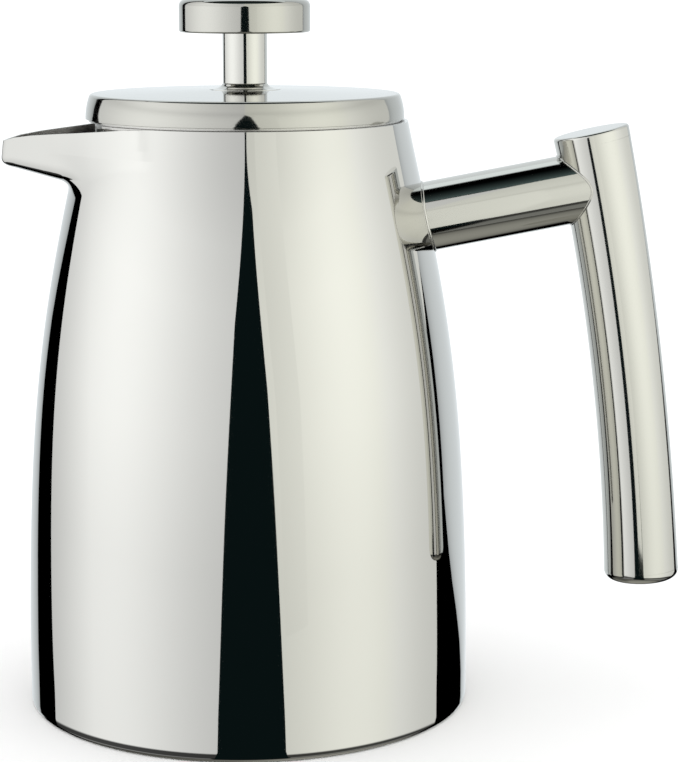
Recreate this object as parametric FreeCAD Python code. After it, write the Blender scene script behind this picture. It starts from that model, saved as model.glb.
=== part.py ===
import FreeCAD, Part
import math
import os

# A double-wall stainless french press, in millimetres.
# +Z is up. The origin is on the pot's axis, on the surface that it stands on.
# The handle is on the +X side and the spout on the -X side.

V = FreeCAD.Vector
UP = V(0, 0, 1)

# ---- pot body ----
BASE_R = 60.0              # outer radius at the foot
BASE_EDGE = 3.0            # rounding between the foot and the wall
SHEET = 0.8                # steel sheet of both walls
WALL_Z = [3.0, 20.0, 40.0, 60.0, 80.0, 100.0, 120.0, 140.0, 157.8]
WALL_R = [60.0, 60.0, 59.5, 58.6, 57.1, 54.7, 51.4, 47.1, 43.3]
RIM_Z = WALL_Z[-1]
BASE_HOLE_R = 54.0         # the foot's inward flange ends here
BEAD_R = 40.0              # stiffening groove pressed into the base plate
BEAD_W = 4.0
BEAD_DEPTH = 1.0
BEAD_LEAN = 1.0            # how far each side of the groove leans
LINER_R = 41.0             # inside of the coffee chamber
LINER_FLOOR_Z = 10.0
LINER_CORNER = 7.0
LIP_Z = 156.4              # the liner flares out to the shell above this height
LIP_FLARE = 0.6

# ---- spout ----
SPOUT_TIP_X = -65.2
SPOUT_TIP_HALF = 3.0
SPOUT_SPREAD = 0.7         # half-width gained per millimetre towards the pot
SPOUT_TIP_TOP = 152.4
SPOUT_ROOT_X = -30.0       # the form ends here, inside the pot
SPOUT_ROOT_TOP = 157.0
SPOUT_BOW = 0.5            # how far the top edge bows up between tip and root
SPOUT_TIP_FLOOR = 145.8
SPOUT_RISE = 0.2           # slope of the underside
SPOUT_WALL = 1.0
SPOUT_EDGE = 2.4
SPOUT_OPEN = 6.0           # the channel is cut this far above the top edge, to leave it open
CUT_REACH = 40.0           # tools that cut through the spout reach this far to each side
CUT_Z = (120.0, 180.0)

# ---- handle ----
ARM_R = 9.3
ARM_WALL = 1.2
ARM_ROOT = V(49.1, 0, 132.2)
ARM_END = V(94.9, 0, 141.0)
GRIP_TOP = V(91.9, 0, 155.0)
GRIP_MID = V(102.2, 0, 97.5)
GRIP_BOTTOM = V(108.25, 0, 32.5)
GRIP_END_R = 10.15
GRIP_WAIST_R = 9.6
GRIP_WALL = 1.2
CAP_T = 3.0
CAP_EDGE_TOP = 0.8
CAP_EDGE_BOTTOM = 2.4
ROOT_WELD = 1.5            # width and height of the bead where the arm meets the pot
GRIP_WELD = 0.35           # the arm is nearly as thick as the grip, so this bead is narrow
WELD_HEIGHT = 1.3
WELD_FOOT = 6.0            # the bead's collar starts this deep inside the pot's form
WELD_LAP = 0.05            # what is left of the bead's width at its thin end

# ---- lid ----
LID_R = 42.3
LID_Z = 158.1              # lower edge of the cap, a hair above the rim
LID_TOP_Z = 166.0
LID_EDGE_Z = 165.0
LID_FLAT_R = 9.8           # the top is flat under the bush, then slopes to the edge
LID_SHOULDER = 3.0         # rounding between top and side
LID_LEAN = 0.3             # how much narrower the side is at its top
LID_T = 0.7
PAN_T = 0.6
PAN_R = 39.8               # outside of the skirt that plugs into the liner
PAN_SEAT_R = 41.4
PAN_SEAT_Z = RIM_Z + 0.05
PAN_FLOOR_Z = 155.4
PAN_BOTTOM_Z = 140.0
SEAL_R = 39.55             # centre circle and section radius of the seal ring
SEAL_SECTION = 1.35
SEAL_Z = 142.5
SEAL_PLAY = 0.15           # room around the ring in its groove
SLOT_W = 3.0
SLOT_Z = (146.5, 153.5)
SLOT_STEP = 8.0            # degrees
SLOTS_EACH_SIDE = 4
BUSH_TOP_R = 6.0
BUSH_NECK = (6.6, 166.7)   # radius and height where the bush begins to flare
BUSH_SKIRT_R = 9.5
BUSH_SKIRT_T = 0.15
BUSH_TOP_Z = 167.5
BUSH_SHANK_R = 4.0
BUSH_BOTTOM_Z = 151.0
NUT_ACROSS_FLATS = 12.0
NUT_Z = (151.4, 154.6)
WASHER_R = 7.5

# ---- plunger ----
ROD_R = 2.5
RUNNING_FIT = 0.08         # radial clearance of the rod in the bush and the collar
NECK_R = 5.9
NECK_Z = BUSH_TOP_Z + 0.05
KNOB_R = 17.35
KNOB_Z = (181.0, 189.6)
KNOB_CROWN = 0.4
ROD_TOP_Z = 186.0
THREAD_R = 2.0
ROD_END_Z = 21.8
SHOULDER_Z = 28.1
COLLAR_R = 5.5
COLLAR_T = 3.0
PLATE_R = 36.5
PLATE_Z = 24.0
PLATE_T = 0.8
PLATE_HUB_R = 9.0          # the raised middle is flat to here and slopes down to PLATE_FOOT_R
PLATE_FOOT_R = 14.0
PLATE_HOLES = [(18, 20.5, 2.6), (26, 29.5, 2.6)]     # count, circle radius, hole radius
SPRING_RING_R = 38.3
SPRING_COIL_R = 1.4
SPRING_WIRE = 0.5
SPRING_Z = 26.0
MESH_R = 40.65
MESH_Z = 23.3
MESH_T = 0.3
MESH_RIM_Z = 28.0
CROSS_R = 35.0
CROSS_T = 1.0
CROSS_HOLES = [(8, 14.5, 4.6), (14, 26.5, 5.0)]
HUB_R = 5.0
HUB_FLANGE_R = 6.5
HUB_FLANGE_T = 1.2


def corner_arc(before, corner, after, radius):
    """Start, middle and end of the arc that rounds one corner of an outline."""
    u = (before - corner).normalize()
    v = (after - corner).normalize()
    half = u.getAngle(v) / 2
    reach = radius / math.tan(half)
    depth = radius / math.sin(half) - radius
    return corner + u * reach, corner + (u + v).normalize() * depth, corner + v * reach


def outline(corners, place):
    """A closed wire through corners (a, b, rounding), where place maps a and b to a point."""
    points = [place(c[0], c[1]) for c in corners]
    radii = [c[2] if len(c) > 2 else 0 for c in corners]
    starts, ends, edges = [], [], []
    for i, point in enumerate(points):
        if radii[i] > 0:
            before = points[i - 1]
            after = points[(i + 1) % len(points)]
            start, middle, end = corner_arc(before, point, after, radii[i])
            edges.append(Part.Arc(start, middle, end).toShape())
        else:
            start, end = point, point
        starts.append(start)
        ends.append(end)
    for i in range(len(points)):
        a, b = ends[i - 1], starts[i]
        if a.distanceToPoint(b) > 1e-6:
            edges.append(Part.makeLine(a, b))
    return Part.Wire(Part.__sortEdges__(edges))


def lathe(corners):
    """Turns an outline of (radius, height, rounding) corners about the pot's axis."""
    wire = outline(corners, lambda r, z: V(r, 0, z))
    return Part.Face(wire).revolve(V(0, 0, 0), UP, 360)


def slab(corners, place, along):
    """Extrudes an outline."""
    return Part.Face(outline(corners, place)).extrude(along)


def tube_z(radius, z_low, z_high):
    return Part.makeCylinder(radius, z_high - z_low, V(0, 0, z_low))


def round_edges(shape, radius, wanted):
    """Rounds every edge that the test picks."""
    return shape.makeFillet(radius, [e for e in shape.Edges if wanted(e)])


def ring_of(count, radius, first=0.0):
    """Evenly spaced points on a circle about the axis."""
    for i in range(count):
        angle = math.radians(first + 360.0 * i / count)
        yield V(radius * math.cos(angle), radius * math.sin(angle), 0)


def with_holes(plate, pattern, low, high):
    """Cuts rings of round holes through a plate, from (count, circle radius, hole radius)."""
    for count, radius, hole in pattern:
        for centre in ring_of(count, radius):
            drill = Part.makeCylinder(hole, high - low + 2, centre + V(0, 0, low - 1))
            plate = plate.cut(drill)
    return plate


def pot_form(inset, z_low, edge):
    """The pot's outer form as a filled solid, with its wall moved in by inset."""
    wall = Part.BSplineCurve()
    heights = [z_low + edge] + WALL_Z[1:]
    points = [V(r - inset, 0, z) for r, z in zip(WALL_R, heights)]
    lean = (points[-1] - points[-2]).normalize()
    wall.interpolate(Points=points, InitialTangent=UP, FinalTangent=lean)
    foot = V(BASE_R - inset - edge, 0, z_low)
    knee = V(BASE_R - inset, 0, z_low)
    start, middle, end = corner_arc(foot, knee, points[0] + UP, edge)
    low, high = V(0, 0, z_low), V(0, 0, points[-1].z)
    edges = [
        Part.makeLine(low, start),
        Part.Arc(start, middle, end).toShape(),
        wall.toShape(),
        Part.makeLine(points[-1], high),
        Part.makeLine(high, low),
    ]
    return Part.Face(Part.Wire(edges)).revolve(V(0, 0, 0), UP, 360)


def spout_form(inset):
    """The filled form of the spout: its side outline crossed with its plan outline."""
    tip = SPOUT_TIP_X + inset
    root = SPOUT_ROOT_X
    floor = SPOUT_TIP_FLOOR + inset
    above = SPOUT_OPEN if inset else 0.0
    middle = (tip + root) / 2

    def side(x, z):
        return V(x, -CUT_REACH, z)

    underside = floor - SPOUT_RISE * (root - tip)
    low_line = Part.makeLine(side(tip, floor), side(root, underside))
    back_line = Part.makeLine(side(root, underside), side(root, SPOUT_ROOT_TOP + above))
    bow = (SPOUT_TIP_TOP + SPOUT_ROOT_TOP) / 2 + SPOUT_BOW
    top_arc = Part.Arc(
        side(root, SPOUT_ROOT_TOP + above),
        side(middle, bow + above),
        side(tip, SPOUT_TIP_TOP + above),
    )
    nose_line = Part.makeLine(side(tip, SPOUT_TIP_TOP + above), side(tip, floor))
    wire = Part.Wire([low_line, back_line, top_arc.toShape(), nose_line])
    profile = Part.Face(wire).extrude(V(0, 2 * CUT_REACH, 0))

    half_tip = SPOUT_TIP_HALF - inset * 0.5
    half_root = half_tip + SPOUT_SPREAD * (root - tip)
    plan = [
        (tip, -half_tip),
        (root, -half_root),
        (root, half_root),
        (tip, half_tip),
    ]
    low, high = CUT_Z
    wedge = slab(plan, lambda x, y: V(x, y, low), V(0, 0, high - low))
    form = profile.common(wedge)

    def long_bottom(edge):
        centre = edge.BoundBox
        flat = centre.ZMax < floor + 0.1
        return flat and edge.Length > 15 and centre.XLength > 15

    return round_edges(form, SPOUT_EDGE - inset * 0.5, long_bottom)


def circle_wire(centre, axis, radius):
    return Part.Wire(Part.makeCircle(radius, centre, axis))


def grip_arc():
    return Part.Arc(GRIP_TOP, GRIP_MID, GRIP_BOTTOM)


def grip_frame(share):
    """Point and downward direction on the grip's centre line, share running from 0 to 1."""
    arc = grip_arc()
    at = arc.FirstParameter + (arc.LastParameter - arc.FirstParameter) * share
    return arc.value(at), V(*arc.tangent(at)[0]).normalize()


def grip_radius(share):
    """The grip is slightly waisted: thinnest half way down."""
    return GRIP_WAIST_R + (GRIP_END_R - GRIP_WAIST_R) * (2 * share - 1) ** 2


def grip_form(inset, first, last):
    """The grip's round form between two shares of its length, smaller by inset."""
    sections = []
    for i in range(7):
        share = first + (last - first) * i / 6
        centre, axis = grip_frame(share)
        sections.append(circle_wire(centre, axis, grip_radius(share) - inset))
    return Part.makeLoft(sections, True, False)


def end_cap(share, edge):
    """A disc that closes one end of the grip, with its outer edge rounded."""
    centre, axis = grip_frame(share)
    inward = axis if share == 0 else axis * -1
    disc = Part.makeCylinder(GRIP_END_R, CAP_T, centre, inward)

    def outer_rim(e):
        return e.Curve.TypeId == "Part::GeomCircle" and e.CenterOfMass.distanceToPoint(centre) < 0.1

    return round_edges(disc, edge, outer_rim)


def grip_shares():
    """Where the tube ends and its two caps begin."""
    cap_share = CAP_T / grip_arc().length()
    return cap_share, 1 - cap_share


def arm_form(radius):
    """A filled round bar along the arm, from inside the pot to the grip's centre line."""
    axis = (ARM_END - ARM_ROOT).normalize()
    start = ARM_ROOT - axis * ARM_R
    return Part.makeCylinder(radius, start.distanceToPoint(ARM_END), start, axis)


def weld_form(centre, axis, width, depth):
    """A tapered collar about the arm for a weld bead, starting some way inside the other piece."""
    foot = Part.makeCylinder(ARM_R + width, depth, centre - axis * depth, axis)
    taper = Part.makeCone(ARM_R + width, ARM_R + WELD_LAP, WELD_HEIGHT, centre, axis)
    return foot.fuse(taper)


def make_outer_shell(envelope):
    hollow = pot_form(SHEET, SHEET, BASE_EDGE - SHEET)
    shell = pot_form(0, 0, BASE_EDGE).cut(hollow)
    shell = shell.cut(tube_z(BASE_HOLE_R, -1, SHEET + 1))
    return shell.cut(envelope)


def make_base_plate():
    half = BEAD_W / 2
    return lathe([
        (0, 0),
        (BEAD_R - half, 0),
        (BEAD_R - half + BEAD_LEAN, BEAD_DEPTH),
        (BEAD_R + half - BEAD_LEAN, BEAD_DEPTH),
        (BEAD_R + half, 0),
        (BASE_HOLE_R, 0),
        (BASE_HOLE_R, SHEET),
        (BEAD_R + half + SHEET / 2, SHEET),
        (BEAD_R + half - BEAD_LEAN + SHEET / 2, SHEET + BEAD_DEPTH),
        (BEAD_R - half + BEAD_LEAN - SHEET / 2, SHEET + BEAD_DEPTH),
        (BEAD_R - half - SHEET / 2, SHEET),
        (0, SHEET),
    ])


def make_inner_liner(envelope):
    shell_inside = WALL_R[-1] - SHEET
    outer_r = LINER_R + SHEET
    liner = lathe([
        (0, LINER_FLOOR_Z - SHEET),
        (outer_r, LINER_FLOOR_Z - SHEET, LINER_CORNER + SHEET),
        (outer_r, LIP_Z),
        (shell_inside, LIP_Z + LIP_FLARE),
        (shell_inside, RIM_Z),
        (LINER_R, RIM_Z, 0.5),
        (LINER_R, LINER_FLOOR_Z, LINER_CORNER),
        (0, LINER_FLOOR_Z),
    ])
    return liner.cut(envelope)


def make_spout(envelope):
    channel = spout_form(SPOUT_WALL)
    return envelope.cut(channel).cut(tube_z(LINER_R, *CUT_Z))


def make_handle_arm(pot):
    bar = arm_form(ARM_R).cut(arm_form(ARM_R - ARM_WALL))
    return bar.cut(pot).cut(grip_form(0, 0, 1))


def make_arm_root_weld(pot):
    axis = (ARM_END - ARM_ROOT).normalize()
    return weld_form(ARM_ROOT, axis, ROOT_WELD, WELD_FOOT).cut(arm_form(ARM_R)).cut(pot)


def make_grip_weld():
    axis = (ARM_ROOT - ARM_END).normalize()
    centre = ARM_END + axis * GRIP_WAIST_R
    collar = weld_form(centre, axis, GRIP_WELD, GRIP_WAIST_R)
    bar = arm_form(ARM_R)
    return collar.cut(bar).cut(grip_form(0, 0, 1))


def make_handle_grip():
    first, last = grip_shares()
    outside = grip_form(0, first, last)
    inside = grip_form(GRIP_WALL, first, last)
    return outside.cut(inside)


def make_lid_cap():
    inner_r = LID_R - LID_T
    return lathe([
        (BUSH_SHANK_R, LID_TOP_Z),
        (LID_FLAT_R, LID_TOP_Z),
        (LID_R - LID_LEAN, LID_EDGE_Z, LID_SHOULDER),
        (LID_R, LID_Z, LID_T / 2),
        (inner_r, LID_Z),
        (inner_r - LID_LEAN, LID_EDGE_Z - LID_T, LID_SHOULDER - LID_T),
        (LID_FLAT_R, LID_TOP_Z - LID_T),
        (BUSH_SHANK_R, LID_TOP_Z - LID_T),
    ])


def make_lid_pan():
    """The lid's lower pan: a seat on the rim, a floor, and a slotted skirt with a seal groove."""
    inner_r = PAN_R - PAN_T
    groove_r = SEAL_R - SEAL_SECTION - SEAL_PLAY
    groove_low = SEAL_Z - SEAL_SECTION - SEAL_PLAY
    groove_high = SEAL_Z + SEAL_SECTION + SEAL_PLAY
    pan = lathe([
        (BUSH_SHANK_R, PAN_FLOOR_Z),
        (inner_r, PAN_FLOOR_Z),
        (inner_r, groove_high + PAN_T),
        (groove_r - PAN_T, groove_high + PAN_T),
        (groove_r - PAN_T, groove_low - PAN_T),
        (inner_r, groove_low - PAN_T),
        (inner_r, PAN_BOTTOM_Z),
        (PAN_R, PAN_BOTTOM_Z),
        (PAN_R, groove_low),
        (groove_r, groove_low),
        (groove_r, groove_high),
        (PAN_R, groove_high),
        (PAN_R, PAN_SEAT_Z),
        (PAN_SEAT_R, PAN_SEAT_Z),
        (PAN_SEAT_R, PAN_SEAT_Z + PAN_T),
        (inner_r, PAN_SEAT_Z + PAN_T),
        (inner_r, PAN_FLOOR_Z + PAN_T),
        (BUSH_SHANK_R, PAN_FLOOR_Z + PAN_T),
    ])
    low, high = SLOT_Z
    for i in range(-SLOTS_EACH_SIDE, SLOTS_EACH_SIDE + 1):
        slot = Part.makeBox(PAN_R / 2, SLOT_W, high - low, V(-PAN_R * 1.25, -SLOT_W / 2, low))
        slot.rotate(V(0, 0, 0), UP, i * SLOT_STEP)
        pan = pan.cut(slot)
    return pan


def make_lid_seal():
    return Part.makeTorus(SEAL_R, SEAL_SECTION, V(0, 0, SEAL_Z))


def make_guide_bush():
    return lathe([
        (ROD_R + RUNNING_FIT, BUSH_BOTTOM_Z),
        (BUSH_SHANK_R, BUSH_BOTTOM_Z),
        (BUSH_SHANK_R, LID_TOP_Z),
        (BUSH_SKIRT_R, LID_TOP_Z),
        (BUSH_SKIRT_R, LID_TOP_Z + BUSH_SKIRT_T),
        (*BUSH_NECK, 1.0),
        (BUSH_TOP_R, BUSH_TOP_Z),
        (ROD_R + RUNNING_FIT, BUSH_TOP_Z),
    ])


def make_bush_washer():
    high = PAN_FLOOR_Z
    low = NUT_Z[1]
    return tube_z(WASHER_R, low, high).cut(tube_z(BUSH_SHANK_R, low, high))


def make_bush_nut():
    corner_r = NUT_ACROSS_FLATS / 2 / math.cos(math.radians(30))
    low, high = NUT_Z
    hexagon = Part.makePolygon([p + V(0, 0, low) for p in ring_of(6, corner_r)] + [V(corner_r, 0, low)])
    nut = Part.Face(hexagon).extrude(V(0, 0, high - low))
    return nut.cut(tube_z(BUSH_SHANK_R, low, high))


def make_plunger_rod():
    return lathe([
        (0, ROD_END_Z),
        (THREAD_R, ROD_END_Z, 0.4),
        (THREAD_R, SHOULDER_Z),
        (ROD_R, SHOULDER_Z),
        (ROD_R, ROD_TOP_Z),
        (0, ROD_TOP_Z),
    ])


def make_rod_collar():
    low = SHOULDER_Z + 0.1
    return lathe([
        (ROD_R + RUNNING_FIT, low),
        (COLLAR_R, low),
        (COLLAR_R, low + COLLAR_T, 0.5),
        (ROD_R + RUNNING_FIT, low + COLLAR_T),
    ])


def make_knob():
    low, high = KNOB_Z
    knob = lathe([
        (0, low),
        (KNOB_R, low, 0.6),
        (KNOB_R, high, 2.0),
        (KNOB_R * 0.5, high + KNOB_CROWN * 0.8),
        (0, high + KNOB_CROWN),
    ])
    return knob.cut(tube_z(ROD_R, low, ROD_TOP_Z))


def make_knob_neck():
    return tube_z(NECK_R, NECK_Z, KNOB_Z[0]).cut(tube_z(ROD_R, NECK_Z, KNOB_Z[0]))


def make_spring_plate():
    """The upper plate of the filter: a raised middle, drain holes and a turned-up rim."""
    top = PLATE_Z + PLATE_T
    plate = lathe([
        (THREAD_R, SHOULDER_Z - PLATE_T),
        (PLATE_HUB_R, SHOULDER_Z - PLATE_T, 1.5),
        (PLATE_FOOT_R, PLATE_Z, 1.5),
        (PLATE_R, PLATE_Z, 1.0),
        (PLATE_R, MESH_RIM_Z - 0.5),
        (PLATE_R - PLATE_T, MESH_RIM_Z - 0.5),
        (PLATE_R - PLATE_T, top, 0.4),
        (PLATE_FOOT_R, top, 2.0),
        (PLATE_HUB_R, SHOULDER_Z, 1.0),
        (THREAD_R, SHOULDER_Z),
    ])
    return with_holes(plate, PLATE_HOLES, PLATE_Z, top)


def make_edge_spring():
    """The outer form of the coil spring that runs round the filter, as a thin hollow ring."""
    ring = Part.makeTorus(SPRING_RING_R, SPRING_COIL_R, V(0, 0, SPRING_Z))
    return ring.cut(Part.makeTorus(SPRING_RING_R, SPRING_COIL_R - SPRING_WIRE, V(0, 0, SPRING_Z)))


def make_mesh_screen():
    bottom = MESH_R - 1.0
    top = MESH_Z + MESH_T
    return lathe([
        (HUB_R, MESH_Z),
        (bottom, MESH_Z, 0.8),
        (MESH_R, MESH_RIM_Z),
        (MESH_R - MESH_T, MESH_RIM_Z),
        (bottom - MESH_T, top, 0.5),
        (HUB_R, top),
    ])


def make_cross_plate():
    low = MESH_Z - CROSS_T
    plate = tube_z(CROSS_R, low, MESH_Z).cut(tube_z(HUB_R, low, MESH_Z))
    return with_holes(plate, CROSS_HOLES, low, MESH_Z)


def make_cross_hub():
    low = MESH_Z - CROSS_T
    return lathe([
        (THREAD_R, low - HUB_FLANGE_T),
        (HUB_FLANGE_R, low - HUB_FLANGE_T, 0.4),
        (HUB_FLANGE_R, low),
        (HUB_R, low),
        (HUB_R, SHOULDER_Z - PLATE_T),
        (THREAD_R, SHOULDER_Z - PLATE_T),
    ])


def save(name, shape):
    """Writes one node and prints what it holds."""
    solids = shape.Solids
    whole = solids[0] if len(solids) == 1 else Part.makeCompound(solids)
    whole.exportStep("parts/" + name + ".step")
    box = whole.BoundBox
    print(
        f"{name:16s} solids {len(solids)} valid {whole.isValid()} volume {whole.Volume / 1000:8.3f} cm3"
        f"  x {box.XMin:.1f}..{box.XMax:.1f}  y {box.YMin:.1f}..{box.YMax:.1f}"
        f"  z {box.ZMin:.1f}..{box.ZMax:.1f}"
    )


def main():
    os.makedirs("parts", exist_ok=True)
    envelope = spout_form(0)
    pot = pot_form(0, 0, BASE_EDGE)

    save("outer_shell", make_outer_shell(envelope))
    save("inner_liner", make_inner_liner(envelope))
    save("base_plate", make_base_plate())
    save("spout", make_spout(envelope))
    save("handle_arm", make_handle_arm(pot))
    save("arm_root_weld", make_arm_root_weld(pot))
    save("handle_grip", make_handle_grip())
    save("grip_weld", make_grip_weld())
    save("grip_top_cap", end_cap(0, CAP_EDGE_TOP))
    save("grip_bottom_cap", end_cap(1, CAP_EDGE_BOTTOM))

    save("lid_cap", make_lid_cap())
    save("lid_pan", make_lid_pan())
    save("lid_seal", make_lid_seal())
    save("guide_bush", make_guide_bush())
    save("bush_washer", make_bush_washer())
    save("bush_nut", make_bush_nut())

    save("plunger_rod", make_plunger_rod())
    save("rod_collar", make_rod_collar())
    save("knob", make_knob())
    save("knob_neck", make_knob_neck())
    save("spring_plate", make_spring_plate())
    save("edge_spring", make_edge_spring())
    save("mesh_screen", make_mesh_screen())
    save("cross_plate", make_cross_plate())
    save("cross_hub", make_cross_hub())


main()
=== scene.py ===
# %% [markdown]
# # A polished french press
#
# This lesson dresses a french press that was designed in CAD: a double-wall steel pot with an
# open spout and a tubular handle, a lift-off lid, and a plunger with a filter. The CAD model
# stays as the fixed frame that moves in simulation. Here each visible part gets a finely
# shaped mesh and a finish, and rides on the CAD body it belongs to.
#
# Mirror-polished steel has no colour of its own. What you see is the room around it, so half
# of the work is in smooth surfaces and the other half is in what stands around the object.

import math

import bmesh
import bpy
import numpy as np
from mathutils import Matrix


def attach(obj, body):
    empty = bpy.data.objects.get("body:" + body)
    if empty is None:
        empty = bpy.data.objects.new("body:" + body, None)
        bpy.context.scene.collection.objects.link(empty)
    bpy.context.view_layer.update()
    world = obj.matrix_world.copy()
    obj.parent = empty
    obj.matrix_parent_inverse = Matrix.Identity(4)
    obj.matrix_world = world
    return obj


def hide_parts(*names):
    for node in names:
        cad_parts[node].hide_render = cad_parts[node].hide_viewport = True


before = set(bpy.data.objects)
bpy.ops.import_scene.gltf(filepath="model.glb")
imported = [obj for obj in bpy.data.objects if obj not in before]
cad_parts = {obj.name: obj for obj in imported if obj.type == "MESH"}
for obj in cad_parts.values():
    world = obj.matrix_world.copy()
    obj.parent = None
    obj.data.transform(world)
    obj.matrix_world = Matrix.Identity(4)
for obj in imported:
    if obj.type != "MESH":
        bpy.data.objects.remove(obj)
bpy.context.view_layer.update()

# %% [markdown]
# ## Tools for making shapes
#
# Every part of the press is either turned on a lathe, bent from tube, or pressed from sheet.
# All three can be described as a grid of points: rows along the part, columns around it. One
# function turns such a grid into a mesh, and small functions on top of it make a turned part
# or a tube. Sizes are written in millimetres, as on a drawing, and scaled once.

# %% Shape helpers
MM = 0.001


def unit(v):
    return v / np.linalg.norm(v)


def between(pairs):
    """A function that runs straight between (place, value) pairs."""
    places, values = zip(*pairs)
    return lambda x: np.interp(x, places, values)


def rounded(corners, steps=8):
    """Outline points from (a, b, rounding) corners, with an arc at each rounded corner."""
    points = []
    for i, corner in enumerate(corners):
        here = np.array(corner[:2], float)
        if len(corner) < 3:
            points.append(here)
            continue
        size = corner[2]
        u = unit(np.array(corners[i - 1][:2]) - here)
        v = unit(np.array(corners[(i + 1) % len(corners)][:2]) - here)
        half = math.acos(u @ v) / 2
        centre = here + unit(u + v) * size / math.sin(half)
        start = here + u * size / math.tan(half) - centre
        end = here + v * size / math.tan(half) - centre
        first = math.atan2(start[1], start[0])
        turn = (math.atan2(end[1], end[0]) - first + math.pi) % math.tau - math.pi
        for k in range(steps + 1):
            angle = first + turn * k / steps
            points.append(centre + size * np.array([math.cos(angle), math.sin(angle)]))
    return np.array(points)


def grid_mesh(name, grid, close_rows=False, close_columns=True):
    """A mesh of quads over a grid of points in millimetres, shaped (rows, columns, 3)."""
    index = np.arange(grid.shape[0] * grid.shape[1]).reshape(grid.shape[:2])
    if close_rows:
        index = np.vstack([index, index[:1]])
    if close_columns:
        index = np.hstack([index, index[:, :1]])
    quads = np.stack([index[:-1, :-1], index[:-1, 1:], index[1:, 1:], index[1:, :-1]], -1)
    mesh = bpy.data.meshes.new(name)
    mesh.from_pydata((grid.reshape(-1, 3) * MM).tolist(), [], quads.reshape(-1, 4).tolist())
    shape = bmesh.new()
    shape.from_mesh(mesh)
    bmesh.ops.remove_doubles(shape, verts=shape.verts, dist=1e-7)
    bmesh.ops.recalc_face_normals(shape, faces=shape.faces)
    shape.to_mesh(mesh)
    shape.free()
    return mesh


def ring_angles(count):
    return np.arange(count) * math.tau / count


def around(outline, count=160, centre=(0, 0, 0), axis=(0, 0, 1), side=(1, 0, 0)):
    """The grid of a turned part: (radius, height) outline points swept about an axis."""
    axis, side = unit(np.array(axis, float)), unit(np.array(side, float))
    other = np.cross(axis, side)
    angle = ring_angles(count)[:, None]
    spokes = np.cos(angle) * side + np.sin(angle) * other
    radius, height = outline[:, 0, None, None], outline[:, 1, None, None]
    return np.array(centre, float) + radius * spokes + height * axis


def add_piece(name, mesh, body, material, stands_for=(), crease=35):
    """Puts a mesh in the scene on its CAD body, shaded smooth except at hard edges."""
    piece = bpy.data.objects.new(name, mesh)
    bpy.context.scene.collection.objects.link(piece)
    mesh.shade_smooth()
    mesh.set_sharp_from_angle(angle=math.radians(crease))
    mesh.materials.append(material)
    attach(piece, body)
    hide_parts(*stands_for)
    print(f"{name}: {len(mesh.vertices)} points on {body}")
    return piece


def even_shading(piece):
    """Makes flat faces shade flat right up to their rounded edges."""
    weighted = piece.modifiers.new("even_shading", "WEIGHTED_NORMAL")
    weighted.keep_sharp = True
    return piece


def turned(name, corners, body, material, stands_for=(), count=160):
    """A part turned about the pot's axis from a closed outline."""
    mesh = grid_mesh(name, around(rounded(corners), count), close_rows=True)
    return even_shading(add_piece(name, mesh, body, material, stands_for))


# %% [markdown]
# ## The finishes
#
# The outside of the press is buffed to a mirror. Real buffing leaves a very slight waviness
# and a haze of fine lines, so the roughness is low but not even, and a faint bump bends the
# reflections a little. Inside, the steel is only brushed or tumbled, which is duller.
# Steel is also darker than silver: it gives back about six tenths of the light, slightly warm.

# %% Finish helpers
def new_finish(name):
    """An empty material with its main shader, and short ways to add and join nodes."""
    material = bpy.data.materials.new(name)
    material.use_nodes = True
    tree = material.node_tree
    shader = tree.nodes["Principled BSDF"]

    def add(kind, **settings):
        node = tree.nodes.new("ShaderNode" + kind)
        for key, value in settings.items():
            if key in node.inputs:
                node.inputs[key].default_value = value
            else:
                setattr(node, key, value)
        return node

    return material, shader, add, tree.links.new


def stretched(add, link, scale):
    """Object coordinates stretched by a scale on each axis."""
    where = add("TexCoord")
    mapping = add("Mapping")
    mapping.inputs["Scale"].default_value = scale
    link(where.outputs["Object"], mapping.inputs["Vector"])
    return mapping.outputs["Vector"]


def spread(add, link, value, low, high):
    """Maps a 0 to 1 value onto a range."""
    ranged = add("MapRange")
    ranged.inputs["To Min"].default_value = low
    ranged.inputs["To Max"].default_value = high
    link(value, ranged.inputs["Value"])
    return ranged.outputs["Result"]


def bump(add, link, shader, height, strength, depth):
    """Adds surface relief of the given depth in metres."""
    node = add("Bump")
    node.inputs["Strength"].default_value = strength
    node.inputs["Distance"].default_value = depth
    link(height, node.inputs["Height"])
    link(node.outputs["Normal"], shader.inputs["Normal"])


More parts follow.
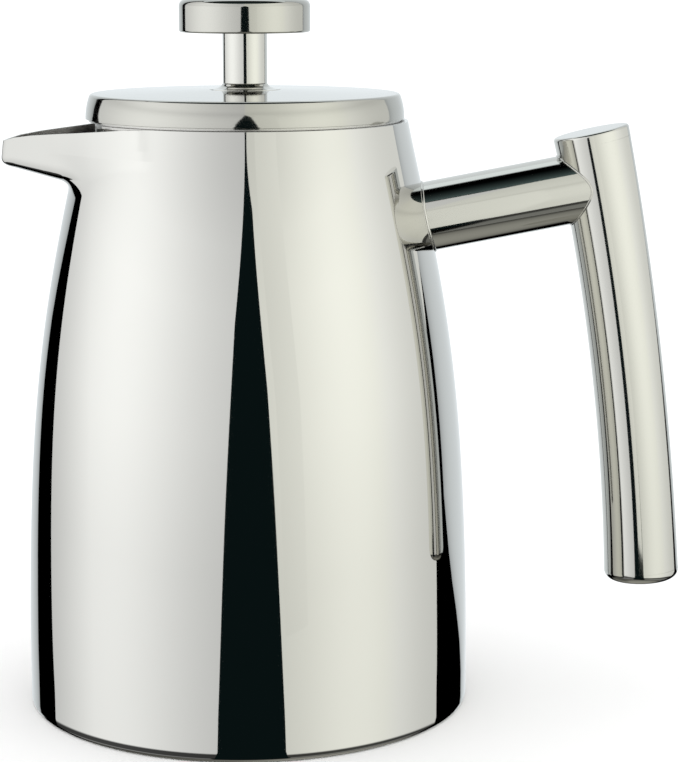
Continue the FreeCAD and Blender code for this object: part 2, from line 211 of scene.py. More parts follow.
def steel(name, colour, rough, grain, grain_depth, tint=0.03, darker_end=None):
    """Steel with uneven roughness and a grain; its colour can be darker beyond a place along X."""
    material, shader, add, link = new_finish(name)
    shader.inputs["Metallic"].default_value = 1.0
    haze = add("TexNoise", Scale=1.0, Detail=3.0)
    link(stretched(add, link, (28, 28, 22)), haze.inputs["Vector"])
    link(spread(add, link, haze.outputs["Fac"], *rough), shader.inputs["Roughness"])
    lines = add("TexNoise", Scale=1.0, Detail=2.0)
    link(stretched(add, link, grain), lines.inputs["Vector"])
    bump(add, link, shader, lines.outputs["Fac"], 1.0, grain_depth)
    shade = add("Mix", data_type="RGBA")
    shade.inputs["A"].default_value = (*[c * (1 - tint) for c in colour], 1)
    shade.inputs["B"].default_value = (*[min(c * (1 + tint), 1) for c in colour], 1)
    link(haze.outputs["Fac"], shade.inputs["Factor"])
    result = shade.outputs["Result"]
    # The base colour is scaled down towards one end along X, so that end of the steel looks darker.
    if darker_end:
        place = add("SeparateXYZ")
        link(stretched(add, link, (1, 1, 1)), place.inputs["Vector"])
        share = add("MapRange")
        share.inputs["From Min"].default_value = darker_end[0] * MM
        share.inputs["From Max"].default_value = darker_end[1] * MM
        share.inputs["To Min"].default_value = darker_end[2]
        share.inputs["To Max"].default_value = 1.0
        link(place.outputs["X"], share.inputs["Value"])
        darker_colour = add("VectorMath", operation="SCALE")
        link(result, darker_colour.inputs[0])
        link(share.outputs["Result"], darker_colour.inputs["Scale"])
        result = darker_colour.outputs["Vector"]
    link(result, shader.inputs["Base Color"])
    return material


# %% Steel finishes
STEEL = (0.625, 0.617, 0.592)
SPOUT_DARKER = (-50, -38, 0.84)       # from, to along X in mm, and how bright it stays: the base colour is darker towards the spout's tip
mirror = steel("mirror_steel", STEEL, (0.012, 0.035), (50, 50, 300), 0.0000006, 0.02, SPOUT_DARKER)
polished_tube = steel("polished_tube", (0.595, 0.588, 0.555), (0.05, 0.09), (60, 60, 250), 0.000001, 0.02)
lid_polish = steel("lid_polish", (0.49, 0.483, 0.45), (0.05, 0.09), (50, 50, 400), 0.0000007, 0.03)
turned_steel = steel("turned_steel", (0.61, 0.6, 0.58), (0.16, 0.24), (40, 40, 2200), 0.000006)
satin = steel("satin_steel", (0.56, 0.55, 0.53), (0.22, 0.34), (60, 60, 3000), 0.00001)
weld = steel("weld_steel", (0.6, 0.59, 0.56), (0.1, 0.22), (700, 700, 700), 0.00004)
wire = steel("spring_wire", (0.6, 0.59, 0.57), (0.12, 0.2), (900, 900, 900), 0.00001)
steels = (mirror, polished_tube, lid_polish, turned_steel, satin, weld, wire)
print("steel finishes", [m.name for m in steels])

# %% [markdown]
# The filter disc is woven from fine wire. Two sets of waves at right angles, the taller one
# winning at each spot, give the over-and-under look of a plain weave; the low spots between
# the wires are coloured nearly black as painted shade. The seal is silicone,
# which is milky and soft.

# %% Woven mesh and silicone
def woven(name, pitch):
    material, shader, add, link = new_finish(name)
    shader.inputs["Metallic"].default_value = 1.0
    shader.inputs["Roughness"].default_value = 0.3
    where = stretched(add, link, (1, 1, 1))
    waves = []
    for direction in ("X", "Y"):
        wave = add("TexWave", bands_direction=direction, wave_profile="SIN")
        wave.inputs["Scale"].default_value = 0.314 / pitch
        link(where, wave.inputs["Vector"])
        waves.append(wave)
    top = add("Math", operation="MAXIMUM")
    link(waves[0].outputs["Fac"], top.inputs[0])
    link(waves[1].outputs["Fac"], top.inputs[1])
    bump(add, link, shader, top.outputs["Value"], 0.8, 0.00015)
    # Where both waves are low, between the wires, the colour goes nearly black: painted shade in the
    # openings of the weave.
    shade = add("Mix", data_type="RGBA")
    shade.inputs["A"].default_value = (0.05, 0.05, 0.048, 1)
    shade.inputs["B"].default_value = (0.6, 0.59, 0.57, 1)
    link(top.outputs["Value"], shade.inputs["Factor"])
    link(shade.outputs["Result"], shader.inputs["Base Color"])
    return material


def silicone(name):
    material, shader, add, link = new_finish(name)
    shader.inputs["Base Color"].default_value = (0.78, 0.78, 0.74, 1)
    shader.inputs["Subsurface Weight"].default_value = 0.3
    shader.inputs["Subsurface Scale"].default_value = 0.002
    grain = add("TexNoise", Scale=400.0, Detail=4.0)
    link(stretched(add, link, (1, 1, 1)), grain.inputs["Vector"])
    link(spread(add, link, grain.outputs["Fac"], 0.35, 0.5), shader.inputs["Roughness"])
    bump(add, link, shader, grain.outputs["Fac"], 0.3, 0.00005)
    return material


mesh_finish = woven("woven_mesh", 0.45 * MM)
seal_finish = silicone("seal_silicone")

# %% [markdown]
# ## The pot's wall and its spout
#
# On the real pot the spout is a separate pressing. It is welded over a cut-out in the wall,
# and the seam is then ground and buffed away, so that wall and spout read as one smooth skin.
# Blending two meshes along a seam nearly always leaves a dent that a mirror shows at once.
# So the skin is worked out as one form instead. A distance rule says how far any point lies
# outside the wall or outside the beak, and a soft minimum melts the two together. For every
# direction round the pot and every height, a search finds where that distance is zero.

# %% The pot's outer form
FOOT_R = 60.0
FOOT_EDGE = 1.3
SKIN_T = 0.9                 # thickness of the visible sheet
STRAIGHT_TO = 12.0                                 # the wall stands upright up to this height
WALL_CURVE = (8.696, -11.779, 15.892, -5.629)      # how it then draws in towards the rim
RIM_Z = 157.8
FOOT_HOLE_R = 54.0

SPOUT_REACH = 65.1
SPOUT_TIP_HALF = 3.0
SPOUT_SPREAD = 0.7
SPOUT_FLOOR = 146.15
SPOUT_RISE = 0.2
SPOUT_EDGE_Z = 152.4
SPOUT_ROOT = -30.0           # the beak starts inside the wall, at this place along X
NOSE_SLANT = 0.13
NOSE_EDGE = 0.9
UNDER_EDGE = [(0, 2.4), (4, 3.4), (18, 4.6)]       # softness of the lower edges, by distance from the tip
WALL_BLEND = [(143.5, 3.2), (150, 8.0)]            # softness where beak meets wall, by height


def wall_radius(z):
    rise = np.clip(z - STRAIGHT_TO, 0, None) / 100
    return FOOT_R - sum(c * rise ** (k + 2) for k, c in enumerate(WALL_CURVE))


def soft_min(a, b, size):
    share = np.clip(0.5 + 0.5 * (b - a) / size, 0, 1)
    return b + (a - b) * share - size * share * (1 - share)


def soft_max(a, b, size):
    return -soft_min(-a, -b, size)


def pot_distance(x, y, z):
    """How far a point is outside the pot with its spout; below zero inside."""
    back = SPOUT_REACH + x
    side = (np.abs(y) - SPOUT_TIP_HALF - SPOUT_SPREAD * back) / math.hypot(1, SPOUT_SPREAD)
    nose = -back + NOSE_SLANT * np.clip(z - SPOUT_FLOOR, 0, None)
    under = (SPOUT_FLOOR - SPOUT_RISE * back - z) / math.hypot(1, SPOUT_RISE)
    beak = soft_max(soft_max(side, nose, NOSE_EDGE), under, between(UNDER_EDGE)(back))
    beak = np.maximum(beak, x - SPOUT_ROOT)
    wall = np.hypot(x, y) - wall_radius(z)
    return soft_min(wall, beak, between(WALL_BLEND)(z))


def skin_radius(angle, z, depth=0.0):
    """Distance from the axis to the skin, by halving, at an angle from the spout's side."""
    near = np.full(np.broadcast(angle, z).shape, 25.0)
    far = np.full(near.shape, 80.0)
    for _ in range(40):
        middle = (near + far) / 2
        inside = pot_distance(-middle * np.cos(angle), middle * np.sin(angle), z) < -depth
        near = np.where(inside, middle, near)
        far = np.where(inside, far, middle)
    return near


# %% The polished skin
fine = np.radians(np.concatenate([np.arange(0, 12, 0.5), np.arange(12, 48, 1.0), np.arange(48, 180, 2.0)]))
skin_angles = np.concatenate([fine, [math.pi], -fine[:0:-1]])
BLEND_FROM = 132.0           # below this height the wall is plainly round
CUT_EDGE = 0.22              # rounding of the cut sheet edges

foot = rounded([(FOOT_HOLE_R, 0), (FOOT_R, 0, FOOT_EDGE), (FOOT_R, 8)])[:-1]
straight_z = np.linspace(FOOT_EDGE + 1.5, BLEND_FROM, 64)
low_r = np.concatenate([foot[:, 0], wall_radius(straight_z)])
low_z = np.concatenate([foot[:, 1], straight_z])

reach = skin_radius(skin_angles, 154.0) * np.cos(skin_angles)
LIP_DROP = [(22, RIM_Z), (30, 157.4), (43.5, 155.7), (56, 154.4), (61, 153.6), (64.8, SPOUT_EDGE_Z)]
top_z = between(LIP_DROP)(reach)
share = np.linspace(0, 1, 500)[:, None]
high_z = BLEND_FROM + (top_z - BLEND_FROM) * share
high_r = skin_radius(skin_angles[None, :], high_z)
travel = np.cumsum(np.hypot(np.diff(high_r, axis=0), np.diff(high_z, axis=0)), axis=0)
travel = np.vstack([np.zeros(len(skin_angles)), travel])
even = np.linspace(0, 1, 230)[1:]
columns = []
for j, angle in enumerate(skin_angles):
    stops = even * travel[-1, j]
    r = np.concatenate([low_r, np.interp(stops, travel[:, j], high_r[:, j])])
    z = np.concatenate([low_z, np.interp(stops, travel[:, j], high_z[:, j])])
    columns.append(np.stack([-r * math.cos(angle), r * math.sin(angle), z], -1))
skin_mesh = grid_mesh("pot_wall", np.stack(columns, 1))
pot_wall = add_piece(
    "pot_wall", skin_mesh, "pot", mirror, ("outer_shell", "spout"), crease=60,
)
thicken = pot_wall.modifiers.new("sheet_thickness", "SOLIDIFY")
thicken.thickness = SKIN_T * MM
thicken.offset = -1
thicken.material_offset = 1
skin_mesh.materials.append(satin)
soften = pot_wall.modifiers.new("edge_rounding", "BEVEL")
soften.width = CUT_EDGE * MM
soften.segments = 3
soften.angle_limit = math.radians(50)
print("skin grid", len(low_z) + len(even), "rows by", len(skin_angles), "columns")

# %% [markdown]
# ## The chamber inside
#
# The coffee chamber is a second, straight pot welded in at the rim, and the air between the
# two walls keeps the coffee warm. Under the spout it has a notch, so that the coffee can run
# out. The notch is cut with a boolean, just as a punch would do it, and a bent strip closes
# the space between the two walls around the notch.

# %% Liner, notch and spout strip
LINER_R = 41.0
NOTCH_HALF = 22.9
NOTCH_Z = 142.0
NOTCH_CORNER = 5.0

liner = turned(
    "chamber_liner",
    [
        (0, 9.2), (41.8, 9.2, 7.8), (41.8, 156.4, 1.0), (42.5, 157.0, 0.3),
        (42.5, RIM_Z, 0.2), (LINER_R, RIM_Z, 0.6), (LINER_R, 10, 7.0), (0, 10),
    ],
    "pot", satin, ("inner_liner",),
)


def notch_outline(top):
    """The notch seen along X: straight sides and a flat floor with rounded corners."""
    low_left, low_right = (-NOTCH_HALF, NOTCH_Z, NOTCH_CORNER), (NOTCH_HALF, NOTCH_Z, NOTCH_CORNER)
    return rounded([(-NOTCH_HALF, top), low_left, low_right, (NOTCH_HALF, top)])


notch = notch_outline(175)
punch_grid = np.array([[(x, y, z) for y, z in notch] for x in (-60, -25)], float)
punch_mesh = grid_mesh("notch_punch", punch_grid)
caps = bmesh.new()
caps.from_mesh(punch_mesh)
bmesh.ops.holes_fill(caps, edges=caps.edges)
bmesh.ops.recalc_face_normals(caps, faces=caps.faces)
caps.to_mesh(punch_mesh)
caps.free()
punch = bpy.data.objects.new("notch_punch", punch_mesh)
bpy.context.scene.collection.objects.link(punch)
cut = liner.modifiers.new("notch", "BOOLEAN")
cut.operation = "DIFFERENCE"
cut.object = punch
liner.modifiers.move(1, 0)
shaped = bpy.data.meshes.new_from_object(liner.evaluated_get(bpy.context.evaluated_depsgraph_get()))
liner.modifiers.clear()
liner.data = shaped
bpy.data.objects.remove(punch)

edge_path = notch_outline(157.2)
path_angle = np.arcsin(edge_path[:, 0] / LINER_R)
floor_share = np.clip((NOTCH_Z + 6 - edge_path[:, 1]) / 6, 0, 1)
path_end = skin_radius(path_angle, edge_path[:, 1] + 1.4 * floor_share, SKIN_T / 2)
rows = []
for k in np.linspace(0, 1, 8):
    r = LINER_R + 0.2 + (path_end - LINER_R - 0.2) * k
    z = edge_path[:, 1] + SPOUT_RISE * (r - LINER_R) * floor_share
    rows.append(np.stack([-r * np.cos(path_angle), r * np.sin(path_angle), z], -1))
strip = add_piece(
    "spout_strip", grid_mesh("spout_strip", np.stack(rows), close_columns=False),
    "pot", satin,
)
strip_sheet = strip.modifiers.new("sheet_thickness", "SOLIDIFY")
strip_sheet.thickness = 0.5 * MM
strip_sheet.offset = 0

# %% [markdown]
# ## The handle
#
# The grip is a tube bent to a gentle curve and drawn in slightly at its middle, closed by a
# flat disc above and a rounded one below. A straight tube, cut to the shape of the wall at
# one end and of the grip at the other, joins it to the pot. Each point of that cut is found
# by sliding along the tube until it meets the other surface, as a fitter's template would.

# %% Grip
GRIP_TOP = np.array([91.9, 155.0])
GRIP_MID = np.array([102.2, 97.5])
GRIP_BOTTOM = np.array([108.25, 32.5])
GRIP_END_R = 10.15
GRIP_WAIST_R = 9.6
CAP_T = 3.0


def circle_through(a, b, c):
    """Centre of the circle through three points."""
    rows = 2 * np.array([b - a, c - a])
    return np.linalg.solve(rows, [b @ b - a @ a, c @ c - a @ a])


bend_centre = circle_through(GRIP_TOP, GRIP_MID, GRIP_BOTTOM)
bend_r = np.linalg.norm(GRIP_TOP - bend_centre)
top_angle, low_angle = [math.atan2(*(p - bend_centre)[::-1]) for p in (GRIP_TOP, GRIP_BOTTOM)]
grip_length = abs(top_angle - low_angle) * bend_r
print("grip bend radius", round(bend_r, 1), "length", round(grip_length, 1))


def grip_frame(share):
    """Centre point, downward direction and outward direction at a share of the grip's length."""
    angle = top_angle + (low_angle - top_angle) * share
    out = np.array([math.cos(angle), 0, math.sin(angle)])
    down = np.array([math.sin(angle), 0, -math.cos(angle)])
    return np.array([bend_centre[0], 0, bend_centre[1]]) + out * bend_r, down, out


def grip_radius(share):
    return GRIP_WAIST_R + (GRIP_END_R - GRIP_WAIST_R) * (2 * share - 1) ** 2


def grip_ring(share, radius, count=96):
    centre, down, out = grip_frame(share)
    return around(np.array([[radius, 0.0]]), count, centre, down, out)[0]


cap_share = CAP_T / grip_length
shares = np.linspace(cap_share, 1 - cap_share, 70)
tube = [grip_ring(s, grip_radius(s)) for s in shares]
add_piece(
    "grip", grid_mesh("grip", np.stack(tube)),
    "pot", polished_tube, ("handle_grip",), crease=50,
)


def cap(name, share, corners, node):
    centre, down, out = grip_frame(share)
    inward = down if share == 0 else -down
    grid = around(rounded(corners), 96, centre, inward, out)
    mesh = grid_mesh(name, grid, close_rows=True)
    return even_shading(add_piece(name, mesh, "pot", polished_tube, (node,)))


def cap_outline(edge):
    return [(0, 0), (GRIP_END_R, 0, edge), (GRIP_END_R - 0.04, CAP_T), (0, CAP_T)]


cap("grip_disc_top", 0, cap_outline(0.8), "grip_top_cap")
cap("grip_disc_bottom", 1, cap_outline(2.4), "grip_bottom_cap")

# %% Arm and its welds
ARM_R = 9.3
ARM_BEAD_R = 0.48
GRIP_BEAD_R = 0.3
ARM_BITE = 0.3               # how far each end sinks in
MID_ARM, ARM_REACH = 20, 46  # places along the tube to search from and to
ARM_ROOT = np.array([49.1, 0, 132.2])
ARM_END = np.array([94.9, 0, 141.0])
arm_axis = unit(ARM_END - ARM_ROOT)
arm_up = np.cross(arm_axis, (0, 1, 0))


def grip_distance(p):
    """How far points are outside the grip's surface."""
    flat = p[..., [0, 2]] - bend_centre
    share = (np.arctan2(flat[..., 1], flat[..., 0]) - top_angle) / (low_angle - top_angle)
    return np.hypot(np.linalg.norm(flat, axis=-1) - bend_r, p[..., 1]) - grip_radius(share)


def outside_pot(p):
    return pot_distance(p[..., 0], p[..., 1], p[..., 2])


def meeting(lines, surface, near, far):
    """Slides along each line from near until it enters the surface; returns the points."""
    near = np.full(len(lines), near, float)
    far = np.full(len(lines), far, float)
    for _ in range(40):
        middle = (near + far) / 2
        inside = surface(lines + middle[:, None] * arm_axis) < 0
        near, far = np.where(inside, near, middle), np.where(inside, middle, far)
    return lines + near[:, None] * arm_axis


turn = ring_angles(128)[:, None]
arm_lines = ARM_ROOT + ARM_R * (np.cos(turn) * np.array([0, 1, 0]) + np.sin(turn) * arm_up)
at_pot = meeting(arm_lines, outside_pot, MID_ARM, -MID_ARM)
at_grip = meeting(arm_lines, grip_distance, MID_ARM, ARM_REACH)
steps = np.linspace(0, 1, 24)[:, None, None]
arm_grid = at_pot - ARM_BITE * arm_axis + (at_grip - at_pot + 2 * ARM_BITE * arm_axis) * steps
add_piece("arm", grid_mesh("arm", arm_grid), "pot", polished_tube, ("handle_arm",))


def bead(name, path, radius, node):
    """A weld bead: a thin closed tube along the line where two pieces meet."""
    ahead = np.roll(path, -1, 0) - np.roll(path, 1, 0)
    ahead /= np.linalg.norm(ahead, axis=1)[:, None]
    out = path - path.mean(0)
    out -= (out * ahead).sum(1)[:, None] * ahead
    out /= np.linalg.norm(out, axis=1)[:, None]
    other = np.cross(ahead, out)
    angle = ring_angles(12)[:, None, None]
    grid = path + radius * (np.cos(angle) * out + np.sin(angle) * other)
    return add_piece(name, grid_mesh(name, grid, close_rows=True), "pot", weld, (node,))


bead("arm_bead", at_pot, ARM_BEAD_R, "arm_root_weld")
bead("grip_bead", at_grip, GRIP_BEAD_R, "grip_weld")

# %% [markdown]
# ## The lid and the knob
#
# The lid's cap is spun from sheet, with a soft shoulder and a nearly flat top. In its middle
# sits a small flanged bush. The rod runs in it, and on top of the rod are a polished sleeve
# and a thick round knob that was turned from bar.

# %% Lid, bush, rod and knob
LID_R = 42.3
ROD_R, ROD_TOP = 2.5, 186.0
SLEEVE_R, SLEEVE_Z = 5.9, 167.55
KNOB_R, KNOB_Z, TOP_Z = 17.35, 181.0, 190.0
BORE_R = 2.58                # the bush's and the collar's bore round the rod
turned(
    "lid_top",
    [
        (4.0, 166.0), (9.8, 166.0, 8.0), (LID_R - 1.25, 165.0, 1.0), (LID_R, 161.5, 17.0),
        (LID_R, 158.45, 0.4), (LID_R - 0.7, 158.45, 0.15), (LID_R - 0.7, 161.3, 16.0),
        (LID_R - 1.9, 164.3, 0.6), (9.8, 165.3), (4.0, 165.3),
    ],
    "lid", lid_polish, ("lid_cap",), 220,
)
turned(
    "lid_bush",
    [
        (BORE_R, 151), (4, 151, 0.2), (4, 166.0), (9.45, 166.0), (9.45, 166.08), (7.8, 166.25, 4.0),
        (6.5, 166.75, 1.2), (6.0, 167.5, 0.15), (BORE_R, 167.5, 0.15),
    ],
    "lid", polished_tube, ("guide_bush",), 96,
)
turned(
    "rod",
    [(0, 21.8), (2.0, 21.8, 0.4), (2.0, 28.1), (ROD_R, 28.1, 0.15), (ROD_R, ROD_TOP), (0, ROD_TOP)],
    "plunger", polished_tube, ("plunger_rod",), 64,
)
turned(
    "knob_sleeve",
    [(ROD_R, SLEEVE_Z), (SLEEVE_R, SLEEVE_Z, 0.2), (SLEEVE_R, KNOB_Z), (ROD_R, KNOB_Z)],
    "plunger", polished_tube, ("knob_neck",), 96,
)
turned(
    "round_knob",
    [
        (ROD_R, KNOB_Z), (KNOB_R, KNOB_Z, 0.6), (KNOB_R, TOP_Z - 0.4, 1.9), (KNOB_R / 2, TOP_Z - 0.08, 6.0),
        (0, TOP_Z), (0, ROD_TOP), (ROD_R, ROD_TOP),
    ],
    "plunger", lid_polish, ("knob",), 160,
)
turned(
    "stop_collar",
    [(BORE_R, 28.2), (5.5, 28.2, 0.3), (5.5, 31.2, 0.5), (BORE_R, 31.2)],
    "plunger_ring", turned_steel, ("rod_collar",), 64,
)

# %% [markdown]
# ## The filter
#
# The filter is a stack of discs. A fine woven screen is clamped between a perforated plate
# and a stiff cross plate, and a coil spring bent into a ring pushes the screen's edge against
# the wall. The spring is a real coil: a small circle that walks round a large one. The
# perforated plates, washer and nut are already right as CAD parts, and only need a finish.

# %% Screen, spring and seal
turned(
    "woven_screen",
    [
        (5.0, 23.3), (39.65, 23.3, 0.8), (40.65, 28.0, 0.1),
        (40.35, 28.0, 0.1), (39.35, 23.6, 0.5), (5.0, 23.6),
    ],
    "plunger", mesh_finish, ("mesh_screen",), 220,
)
turns, per_turn = 230, 14
step = np.arange(turns * per_turn)
coil_angle = step * math.tau / per_turn
ring_angle = coil_angle / turns
COIL_R, RING_R, WIRE_R = 1.12, 38.3, 0.25
hoop = np.stack([np.cos(ring_angle), np.sin(ring_angle), np.zeros_like(ring_angle)], -1)
upright = np.array([0, 0, 1.0])
coil_out = np.cos(coil_angle)[:, None] * hoop + np.sin(coil_angle)[:, None] * upright
coil_side = np.stack([-np.sin(ring_angle), np.cos(ring_angle), np.zeros_like(ring_angle)], -1)
path = hoop * RING_R + coil_out * COIL_R + np.array([0, 0, 26.0])
wire_turn = ring_angles(7)[:, None]
coil_grid = path[:, None, :] + WIRE_R * (
    np.cos(wire_turn)[None] * coil_out[:, None, :] + np.sin(wire_turn)[None] * coil_side[:, None, :]
)
add_piece(
    "coil_spring", grid_mesh("coil_spring", coil_grid, close_rows=True),
    "plunger", wire, ("edge_spring",), crease=80,
)
SEAL_IN, SEAL_OUT, SEAL_LOW, SEAL_HIGH = 38.2, 40.9, 141.15, 143.85
seal_corners = [(SEAL_IN, SEAL_LOW), (SEAL_OUT, SEAL_LOW), (SEAL_OUT, SEAL_HIGH), (SEAL_IN, SEAL_HIGH)]
seal_grid = around(rounded([(r, z, 1.3) for r, z in seal_corners]))
add_piece(
    "seal_ring", grid_mesh("seal_ring", seal_grid, close_rows=True),
    "lid_ring", seal_finish, ("lid_seal",), crease=80,
)

# %% Finishes for the parts that stay as they are
KEPT = {
    "base_plate": satin, "lid_pan": satin, "bush_washer": turned_steel, "bush_nut": turned_steel,
    "spring_plate": turned_steel, "cross_plate": turned_steel, "cross_hub": turned_steel,
}
for name, finish in KEPT.items():
    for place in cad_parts[name].material_slots:
        place.material = finish
print("kept from CAD:", ", ".join(KEPT))

# %% [markdown]
# ## The studio
#
# To light a mirror-bright pot, you hang large white sheets all round it and look
# through the gap between two of them. The sheets become the long soft bands on the steel, and
# the gap becomes the crisp dark stripe in the middle. The sheets here are curved meshes that
# glow, and only reflections can see them. Each one is a little brighter where its lamp hangs.

# %% Reflector sheets
STEEL_SHARE = 0.6            # steel gives back this share of what it reflects
LEFT_RADIUS, RIGHT_RADIUS = 420.0, 390.0
SHEET_LOW, LEFT_TOP, RIGHT_TOP = -420, 660, 640

# Edges of the sheets, as (height, degrees from the front) pairs.
GAP_LEFT = [(-260, -18), (-120, -12.7), (180, -3.9), (290, 2.2)]
GAP_RIGHT = [(-250, 23.5), (0, 15.9), (120, 12.4), (255, 6.3), (280, 2.2)]
LEFT_END = [(-120, -112.4), (165, -122.4), (690, -123.5)]
RIGHT_END = [(-60, 110), (40, 111.7), (150, 123)]

# Light level by height: a grey table edge, a dark slot, then the sheet with its lamp.
TABLE_LEVEL, SLOT_LEVEL = 0.2, 0.05
LEVELS = [
    (-240, TABLE_LEVEL), (-205, SLOT_LEVEL), (-142, SLOT_LEVEL), (-134, 0.83), (-20, 0.86),
    (80, 0.955), (190, 0.99), (240, 0.96), (290, 0.83), (340, 0.93), (690, 0.85),
]


def lamp_glow(centre, width, edge_tone, centre_tone):
    """Screen tone across a sheet: a soft lamp at its centre that fades towards the edges."""
    return lambda az: edge_tone + (centre_tone - edge_tone) * np.exp(-(((az - centre) / width) ** 2))


left_tone = lamp_glow(-68, 52, 189, 248)
right_tone = lamp_glow(56, 38, 200, 242)


def light_of(tone):
    """Light level of a screen tone from 0 to 255."""
    tone = np.asarray(tone, float) / 255
    return np.where(tone <= 0.04045, tone / 12.92, ((tone + 0.055) / 1.055) ** 2.4)


def glow_material(name):
    material = bpy.data.materials.new(name)
    material.use_nodes = True
    tree = material.node_tree
    tree.nodes.clear()
    level = tree.nodes.new("ShaderNodeAttribute")
    level.attribute_name = "glow"
    lamp = tree.nodes.new("ShaderNodeEmission")
    out = tree.nodes.new("ShaderNodeOutputMaterial")
    tree.links.new(level.outputs["Color"], lamp.inputs["Color"])
    tree.links.new(lamp.outputs["Emission"], out.inputs["Surface"])
    return material


glow = glow_material("sheet_glow")


def glowing(name, grid, colours):
    """A surface that only reflections can see, with a light level at each grid point."""
    index = np.arange(grid.shape[0] * grid.shape[1]).reshape(grid.shape[:2])
    quads = np.stack([index[:-1, :-1], index[:-1, 1:], index[1:, 1:], index[1:, :-1]], -1)
    mesh = bpy.data.meshes.new(name)
    mesh.from_pydata((grid.reshape(-1, 3) * MM).tolist(), [], quads.reshape(-1, 4).tolist())
    level = mesh.color_attributes.new("glow", "FLOAT_COLOR", "POINT")
    flat = np.concatenate([colours.reshape(-1, 3), np.ones((index.size, 1))], 1)
    level.data.foreach_set("color", flat.ravel().astype(np.float32))
    mesh.materials.append(glow)
    sheet = bpy.data.objects.new(name, mesh)
    bpy.context.scene.collection.objects.link(sheet)
    sheet.visible_camera = False
    sheet.visible_diffuse = False
    sheet.visible_shadow = False
    return sheet


def curved_sheet(name, radius, edge_a, edge_b, z_span, tone, tint, columns=80):
    """A sheet that stands round the object between two edges, given in degrees from the front."""
    z = np.linspace(*z_span, 360)[:, None]
    a, b = edge_a(z), edge_b(z)
    az = a + (b - a) * np.linspace(0, 1, columns)[None, :]
    place = np.radians(az)
    grid = np.stack([radius * np.sin(place), -radius * np.cos(place), z + 0 * az], -1)
    return glowing(name, grid, sheet_level(tone(az), z + 0 * az) * tint(az))


def sheet_level(tone, z):
    """Light level of a sheet at a height: brightest a little above the object."""
    return (light_of(tone) / STEEL_SHARE * between(LEVELS)(z))[..., None]


def neutral(az):
    """Tint that makes the steel look white."""
    return np.stack([1 + 0 * az, 1.004 + 0 * az, 0.965 + 0 * az], -1) / np.array(STEEL) * STEEL_SHARE


def warm(az):
    """Tint that makes the steel look cream."""
    blue = np.interp(az, [15, 70, 80, 110], [0.9, 0.9, 0.93, 0.93])
    return np.stack([1 + 0 * az, 1.004 + 0 * az, blue], -1) / np.array(STEEL) * STEEL_SHARE


curved_sheet(
    "left_sheet", LEFT_RADIUS, between(LEFT_END), between(GAP_LEFT),
    (SHEET_LOW, LEFT_TOP), left_tone, neutral,
)
curved_sheet(
    "right_sheet", RIGHT_RADIUS, between(GAP_RIGHT), between(RIGHT_END),
    (SHEET_LOW, RIGHT_TOP), right_tone, warm,
)

# %% [markdown]
# The arm would catch the dark gap along half its length. A small white card just
# beside the gap, close to the pot, is what the arm sees instead. Seen
# from the pot it hides in front of the right sheet, in the same tone.

# %% Card for the arm
CARD_Y = -200.0
CARD_HEIGHTS = (-5, 215)
CARD_LEFT = [(-5, 66), (100, 55), (215, 27)]
CARD_RIGHT = [(-5, 108), (100, 102), (215, 78)]
CARD_DIM = 4                 # a little darker than the sheet behind it


def arm_card():
    z = np.linspace(*CARD_HEIGHTS, 60)[:, None]
    left, right = between(CARD_LEFT)(z), between(CARD_RIGHT)(z)
    x = left + (right - left) * np.linspace(0, 1, 20)[None, :]
    grid = np.stack([x, CARD_Y + 0 * x, z + 0 * x], -1)
    az = np.degrees(np.arctan2(x, -CARD_Y))
    return glowing("arm_card", grid, sheet_level(right_tone(az) - CARD_DIM, z + 0 * x) * warm(az))


arm_card()

# %% [markdown]
# Behind the pot stands a cooler, bluish backdrop. It shows only in the last millimetres of
# each side, where the steel turns away. High above hangs a dark ceiling, and a grey board
# lies far below, which is what the underside of the arm picks up.

# %% Backdrop, ceiling and board
BACK_RADIUS = 700.0
BACK_LEVEL, BACK_LAMP = 0.84, 0.13
BACK_EDGE_DROP, BACK_EDGE_WIDTH = 0.34, 4.5        # it dims within a few degrees of its edges
COOL = np.array([0.94, 1.0, 1.03])
BACK_LEFT = [(-150, -137.5), (0, -141), (60, -140.5), (160, -135)]
BACK_RIGHT = [(-200, 148), (-125, 130), (-70, 124.5)]


def backdrop():
    z = np.linspace(-330, 1100, 60)[:, None]
    low = between(BACK_LEFT)(z)
    high = between(BACK_RIGHT)(z) - 360
    az = low + (high - low) * np.linspace(0, 1, 90)[None, :]
    place = np.radians(az)
    grid = np.stack([BACK_RADIUS * np.sin(place), -BACK_RADIUS * np.cos(place), z + 0 * az], -1)
    inward = np.minimum(low - az, az - high)
    behind = np.exp(-(((az + 180) / 22) ** 2))
    level = BACK_LEVEL - BACK_EDGE_DROP * np.exp(-inward / BACK_EDGE_WIDTH) + BACK_LAMP * behind
    return glowing("backdrop", grid, level[..., None] * COOL)


CEILING_R, CEILING_Z = 420.0, 690.0
CEILING_DARK = np.array([0.055, 0.08, 0.08])
CEILING_LIT = np.array([1.08, 1.17, 1.2])
BOARD_R, BOARD_Z = 290.0, -250.0
BOARD_LEVELS = [(0, 0.26), (180, 0.22), (235, 0.17), (BOARD_R, 0.02)]
BOARD_TINT = np.array([1.0, 1.0, 0.9])
ROOM_R, ROOM_TOP = 1800.0, 1500.0
ROOM_DIM = np.array([0.004, 0.009, 0.0095])


def disc(name, radius, z, tone_at):
    r = np.linspace(0, radius, 40)[:, None]
    az = np.linspace(0, math.tau, 73)[None, :]
    grid = np.stack([r * np.sin(az), -r * np.cos(az), z + 0 * r * az], -1)
    return glowing(name, grid, tone_at(r, az))


def ceiling_tone(r, az):
    """Nearly dark in front of the object, lit behind it."""
    front = np.clip(np.cos(az), 0, 1) * (r / CEILING_R) ** 1.9
    behind = np.clip((-r * np.cos(az) - 130) / 50, 0, 1)
    return front[..., None] * CEILING_DARK / STEEL_SHARE + behind[..., None] * CEILING_LIT


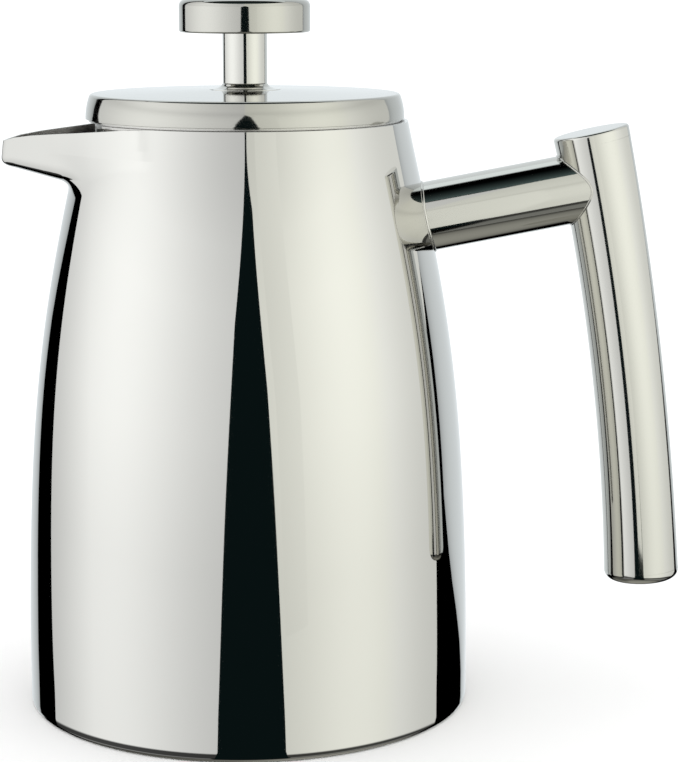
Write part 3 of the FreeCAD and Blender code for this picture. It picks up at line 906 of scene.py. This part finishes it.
def board_tone(r, az):
    """Grey glow, darker on the spout's side: a painted shadow, the shaded floor beyond the pot as the steel
    would see it.
    """
    level = between(BOARD_LEVELS)(r) * (0.65 + 0.35 * np.sin(az))
    return level[..., None] * BOARD_TINT / STEEL_SHARE


def dim_room():
    z = np.linspace(-ROOM_TOP, ROOM_TOP, 8)[:, None]
    place = np.radians(np.linspace(-60, 60, 20))[None, :]
    grid = np.stack([ROOM_R * np.sin(place) + 0 * z, -ROOM_R * np.cos(place) + 0 * z, z + 0 * place], -1)
    return glowing("dim_room", grid, np.ones(grid.shape) * ROOM_DIM)


backdrop()
disc("ceiling", CEILING_R, CEILING_Z, ceiling_tone)
disc("board", BOARD_R, BOARD_Z, board_tone)
dim_room()

# %% [markdown]
# The object stands on a plain white surface under an even white sky. The sky is hidden from
# reflections, so that the steel sees only the sheets.

# %% Floor and soft light
floor_mesh = bpy.data.meshes.new("floor")
HALF = 40.0                  # metres
corners = [(-HALF, -HALF, 0), (HALF, -HALF, 0), (HALF, HALF, 0), (-HALF, HALF, 0)]
floor_mesh.from_pydata(corners, [], [(0, 1, 2, 3)])
floor = bpy.data.objects.new("floor", floor_mesh)
bpy.context.scene.collection.objects.link(floor)
floor_finish, floor_shader, add, link = new_finish("white_floor")
floor_shader.inputs["Base Color"].default_value = (0.96, 0.96, 0.96, 1)
floor_shader.inputs["Specular IOR Level"].default_value = 0.0
grain = add("TexNoise", Scale=300.0, Detail=3.0)
link(stretched(add, link, (1, 1, 1)), grain.inputs["Vector"])
link(spread(add, link, grain.outputs["Fac"], 0.85, 0.95), floor_shader.inputs["Roughness"])
floor_mesh.materials.append(floor_finish)
floor.visible_glossy = False

world = bpy.data.worlds.new("studio")
bpy.context.scene.world = world
world.use_nodes = True
world.node_tree.nodes["Background"].inputs["Color"].default_value = (1, 1, 1, 1)
world.node_tree.nodes["Background"].inputs["Strength"].default_value = 1.25
world.cycles_visibility.glossy = False

# %% [markdown]
# ## The camera
#
# A long lens from just above the lid keeps the sides nearly parallel, as in a catalogue.

# %% Camera and colour
lens = bpy.data.cameras.new("camera")
camera = bpy.data.objects.new("camera", lens)
bpy.context.scene.collection.objects.link(camera)
bpy.context.scene.camera = camera
lens.sensor_width = 36.0
lens.lens = 106.68
lens.clip_start, lens.clip_end = 0.05, 200.0
camera.location = (0.0263, -0.6032, 0.1984)
camera.rotation_euler = (math.radians(79.56), 0.0, math.radians(0.12))
bpy.context.scene.view_settings.view_transform = "Standard"
